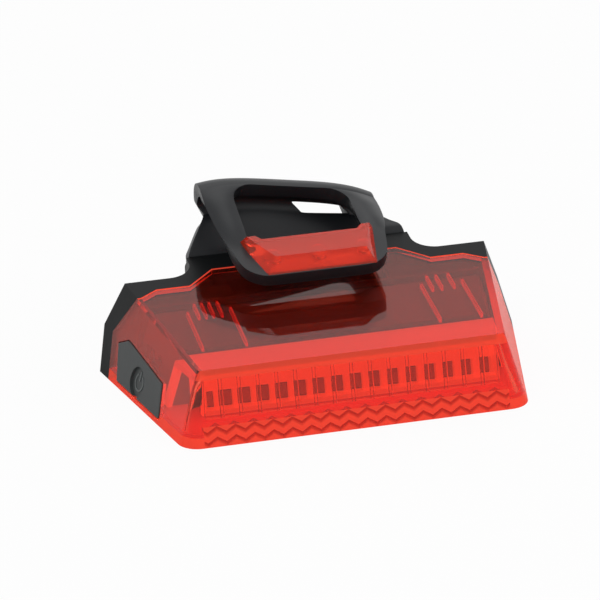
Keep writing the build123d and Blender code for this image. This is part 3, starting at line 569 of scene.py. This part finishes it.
def add_stroke(bm, s, centre, up, forward, outward):
    """The stroke in the ring's opening: a small bar."""
    top = s.radius + s.width / 2 + s.stroke_rise
    axes = Matrix((forward * s.width, up * (top - s.stroke_foot), outward * s.height)).transposed()
    middle = centre + up * (top + s.stroke_foot) / 2 - outward * (s.depth - s.height / 2)
    bmesh.ops.create_cube(bm, size=1.0, matrix=Matrix.Translation(middle) @ axes.to_4x4())


class REARLIGHT_OT_mark(Operator):
    """Raises the power mark in the button's dimple"""
    bl_idname = "rearlight.mark"
    bl_label = "Power mark"

    def execute(self, context):
        s = context.scene.rearlight_mark
        finish = context.scene.rearlight_finish
        forward = Vector((SIDE_TAPER, -1.0, 0.0)).normalized()
        outward = Vector((-1.0, -SIDE_TAPER, SIDE_LEAN)).normalized()
        up = outward.cross(forward)
        centre = SIDE_CORNER + forward * s.along + up * s.up
        bm = bmesh.new()
        add_ring(bm, s, centre, up, forward, outward)
        add_stroke(bm, s, centre, up, forward, outward)
        mark = mesh_object("power_mark", bm, smooth=False)
        color = [part * finish.mark_lift for part in finish.button]
        rubber = new_material("mark rubber", color, 0.5, (3000.0, 0.08, 0.00003))
        mark.data.materials.append(rubber)
        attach(mark, "button")
        return {"FINISHED"}


# Finishes of the CAD pieces

def lens_mask(tree, s):
    """How frosted the lens is, part by part, and the zigzag of painted shade on the prisms at its front
    foot.
    """
    x, y, z = tree.parts(tree.place())
    across, back, up = tree.parts(tree.node("ShaderNodeNewGeometry", output="Normal"))
    aside = abs(x)

    ribs = (z - y * s.roof_slope < s.roof_inside) * (z > s.rib_low) * (aside < s.rib_half)
    ribs = ribs * (y > s.rib_ends[0]) * (y < s.rib_ends[1])
    foot = z < s.foot_height
    front = (y < s.prism_front) * (aside < s.prism_half)
    prisms = front * (z < s.prism_height)
    brow = (y < s.brow_front) * (z > s.brow_low)
    rim = (back > s.rim_facing) * (y > s.rim_front)

    def between(low, high):
        """0 below the first distance from the middle, 1 above the second, and a slope between."""
        return ((aside - low) * (1.0 / (high - low))).clipped()

    tongue_low, tongue_high, shoulder, corner = s.seam_x
    seam = between(tongue_low, tongue_high) * -s.seam_steps[0]
    seam = seam - between(shoulder, corner) * s.seam_steps[1]
    line = (y - seam > s.seam_back - s.rim_width) * (up > s.roof_facing)

    left, right = s.side_frost
    sides = (abs(across) > s.side_facing) * ((x > 0.0) * (right - left) + left)

    # Painted shade of the prisms: a zigzag in which the frost turns dark
    wave = abs((x * (1.0 / s.prism_pitch)).fraction() - 0.5)
    steps = (z * (1.0 / s.prism_rise) + wave * s.prism_tilt).fraction()
    zigzag = front * (z < s.prism_top) * ((steps - 0.5) * s.prism_edge).clipped()

    frosted = ribs * s.rib_frost | (foot | prisms) * s.foot_frost | brow * s.brow_frost
    return frosted | (rim | line) * s.rim_frost | sides, zigzag


def frost_lens(tree, s):
    """Mixes a frosted surface with a painted glow into the clear lens where the mask says, with painted
    shade in the zigzag.
    """
    mask, zigzag = lens_mask(tree, s)
    frost = tree.node("ShaderNodeBsdfPrincipled", sockets={
        "Base Color": tree.ramp(zigzag, s.frost, s.prism_painted_shade),
        "Roughness": 0.3,
        "Specular IOR Level": 0.0,
        # Painted glow of the frosted plastic
        "Emission Color": (*s.frost_painted_glow, 1.0),
        "Emission Strength": 1.0,
    })
    tree.mix_into_surface(mask, frost)


def paint_trough_glow(tree, s):
    """Paints a glow into the trough and its flange, standing in for the lamp light that the render doesn't
    carry through the clear lens.
    """
    height = tree.parts(tree.place())[2]
    glow = tree.ramp(height > s.flange_low, s.trough_painted_glow, s.flange_painted_glow)
    tree.feed(tree.nodes["Principled BSDF"].inputs["Emission Color"], glow)


def make_finishes(s):
    """The materials of the CAD pieces, by finish."""
    clear_grain = (400.0, 0.02, 0.00002)
    veil = (*s.veil, 1.0)
    finishes = {
        "lens": new_material("lens", s.lens, 0.03, clear_grain, Transmission_Weight=0.97, IOR=1.42,
                             Specular_Tint=veil),
        "badge": new_material("badge", s.badge, 0.05, (400.0, 0.03, 0.00002), Transmission_Weight=0.7,
                              IOR=1.38, Specular_Tint=veil),
        "shell": new_material("shell", s.shell, 0.36, (1800.0, 0.15, 0.00005), 0.1,
                              Specular_IOR_Level=0.08),
        "rubber": new_material("rubber", s.rubber, 0.6, (1500.0, 0.2, 0.00005), 0.1,
                               Specular_IOR_Level=0.35),
        "button": new_material("button", s.button, 0.5, (1500.0, 0.15, 0.00005), 0.1,
                               Specular_IOR_Level=0.4),
        "clear": new_material("clear", (0.95, 0.95, 0.95), 0.04, clear_grain, Transmission_Weight=0.95,
                              IOR=1.27),
        # Emission Strength 1 lets the trough show its painted glow
        "trough": new_material("trough", s.trough, 0.35, (900.0, 0.05, 0.00004), Emission_Strength=1.0),
        "board": new_material("board", s.board, 0.4, (900.0, 0.1, 0.00004), 0.1),
        "light": new_material("light", s.light, 0.2, (900.0, 0.05, 0.00004), Coat_Weight=0.5),
        "tray": new_material("tray", s.tray, 0.32, (900.0, 0.08, 0.00004), 0.08),
        "steel": new_material("steel", (0.55, 0.55, 0.56), 0.3, (1200.0, 0.05, 0.00003), 0.1, Metallic=1.0),
        "foil": new_material("foil", (0.60, 0.61, 0.63), 0.35, (500.0, 0.1, 0.00006), 0.1, Metallic=0.9),
        "chip": new_material("chip", (0.02, 0.02, 0.022), 0.35, (1500.0, 0.1, 0.00003)),
        "ceramic": new_material("ceramic", (0.55, 0.42, 0.28), 0.4, (1500.0, 0.05, 0.00003)),
        "sleeve": new_material("sleeve", (0.42, 0.015, 0.012), 0.4, (1500.0, 0.05, 0.00003)),
    }
    frost_lens(Tree(finishes["lens"]), s)
    paint_trough_glow(Tree(finishes["trough"]), s)
    return finishes


class REARLIGHT_OT_finishes(Operator):
    """Gives every CAD piece that stays its finish"""
    bl_idname = "rearlight.finishes"
    bl_label = "Finishes"

    def execute(self, context):
        s = context.scene.rearlight_finish
        finishes = make_finishes(s)
        for finish, nodes in FINISHED_NODES.items():
            for node in nodes:
                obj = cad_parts[node]
                for slot in obj.material_slots:
                    slot.material = finishes[finish]
                if not obj.material_slots:
                    obj.data.materials.append(finishes[finish])
        for node in SOFT_EDGED_NODES:
            soften(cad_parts[node], "soft edges", s.soft_edge, 2, SHELL_CREASE)
        return {"FINISHED"}


# Stage

def is_seen(tree, *kinds):
    """1 for camera rays, and for rays of the other kinds named."""
    seen = tree.node("ShaderNodeLightPath", output="Is Camera Ray")
    path = seen.output.node
    for kind in kinds:
        seen = seen | Socket(tree, path.outputs[kind])
    return seen


def add_floor(s):
    """A pale floor that keeps the shadow and turns white where it is seen."""
    bm = bmesh.new()
    bmesh.ops.create_grid(bm, x_segments=1, y_segments=1, size=s.floor_size)
    floor = mesh_object("studio_floor", bm, smooth=False)
    floor.location.z = -s.floor_drop
    material = new_material("pale floor", (0.86, 0.86, 0.86), 0.8, Specular_IOR_Level=0.1)
    tree = Tree(material)
    white = tree.node("ShaderNodeEmission")
    tree.mix_into_surface(is_seen(tree, "Is Transmission Ray") * s.floor_lift, white)
    floor.data.materials.append(material)


def add_world(scene, s):
    """Even light on the object, and white where the world is seen or mirrored."""
    world = bpy.data.worlds.new("studio")
    scene.world = world
    tree = Tree(world)
    sockets = tree.nodes["Background"].inputs
    strength = is_seen(tree, "Is Glossy Ray", "Is Transmission Ray") * (1.0 - s.world) + s.world
    tree.feed(sockets["Color"], (1.0, 1.0, 1.0, 1.0))
    tree.feed(sockets["Strength"], strength)


def add_lamp(scene, name, place, size, power):
    """A round lamp that shines on the light."""
    data = bpy.data.lights.new(name, "AREA")
    data.shape = "DISK"
    data.size = size
    data.energy = power
    lamp = bpy.data.objects.new(name, data)
    lamp.location = place
    aim = Vector((0.0, 0.0, 0.01)) - Vector(place)
    lamp.rotation_euler = aim.to_track_quat("-Z", "Y").to_euler()
    scene.collection.objects.link(lamp)


def add_camera(scene, s):
    """The camera at the photograph's angle."""
    ahead = Vector((math.sin(s.azimuth) * math.cos(s.elevation),
                    math.cos(s.azimuth) * math.cos(s.elevation), -math.sin(s.elevation)))
    right = Vector((math.cos(s.azimuth), -math.sin(s.azimuth), 0.0))
    up = right.cross(ahead)
    right_rolled = right * math.cos(s.roll) + up * math.sin(s.roll)
    up_rolled = up * math.cos(s.roll) - right * math.sin(s.roll)
    data = bpy.data.cameras.new("camera")
    data.sensor_width = s.sensor
    data.lens = s.focal / s.frame_side * s.sensor
    data.shift_x = (s.frame_side / 2 - s.centre[0]) / s.frame_side
    data.shift_y = (s.centre[1] - s.frame_side / 2) / s.frame_side
    data.clip_start = 0.01
    data.clip_end = 10.0
    camera = bpy.data.objects.new("camera", data)
    turn = Matrix((right_rolled, up_rolled, -ahead)).transposed().to_4x4()
    camera.matrix_world = Matrix.Translation(Vector(s.target) - ahead * s.distance) @ turn
    scene.collection.objects.link(camera)
    scene.camera = camera


class REARLIGHT_OT_stage(Operator):
    """Sets the floor, the light and the camera"""
    bl_idname = "rearlight.stage"
    bl_label = "Studio"

    def execute(self, context):
        s = context.scene.rearlight_stage
        scene = context.scene
        scene.view_settings.view_transform = "Standard"
        add_floor(s)
        add_world(scene, s)
        add_lamp(scene, "key lamp", (-0.35, -0.45, 0.55), 0.45, s.key)
        add_lamp(scene, "fill lamp", (0.50, -0.35, 0.35), 0.50, s.fill)
        add_lamp(scene, "top lamp", (0.05, 0.30, 0.70), 0.60, s.top)
        add_camera(scene, s)
        return {"FINISHED"}


class REARLIGHT_PT_panel(Panel):
    """Lists the operators with their settings"""
    bl_idname = "REARLIGHT_PT_panel"
    bl_label = "Rear Light"
    bl_space_type = "VIEW_3D"
    bl_region_type = "UI"
    bl_category = "Rear Light"

    def draw(self, context):
        for operator, settings in (
            ("rearlight.finishes", context.scene.rearlight_finish),
            ("rearlight.band", context.scene.rearlight_band),
            ("rearlight.mark", context.scene.rearlight_mark),
            ("rearlight.stage", context.scene.rearlight_stage),
        ):
            box = self.layout.box()
            box.operator(operator)
            for name in type(settings).__annotations__:
                box.prop(settings, name)


SETTINGS = {
    "rearlight_finish": FinishSettings,
    "rearlight_band": BandSettings,
    "rearlight_mark": MarkSettings,
    "rearlight_stage": StageSettings,
}
CLASSES = (
    *SETTINGS.values(),
    REARLIGHT_OT_finishes,
    REARLIGHT_OT_band,
    REARLIGHT_OT_mark,
    REARLIGHT_OT_stage,
    REARLIGHT_PT_panel,
)


def register():
    for cls in CLASSES:
        bpy.utils.register_class(cls)
    for name, cls in SETTINGS.items():
        setattr(bpy.types.Scene, name, PointerProperty(type=cls))


def unregister():
    for name in SETTINGS:
        delattr(bpy.types.Scene, name)
    for cls in reversed(CLASSES):
        bpy.utils.unregister_class(cls)


def main():
    """Registers the classes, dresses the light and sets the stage."""
    register()
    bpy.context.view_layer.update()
    bpy.ops.rearlight.finishes()
    bpy.ops.rearlight.band()
    bpy.ops.rearlight.mark()
    bpy.ops.rearlight.stage()


if __name__ == "__main__":
    main()
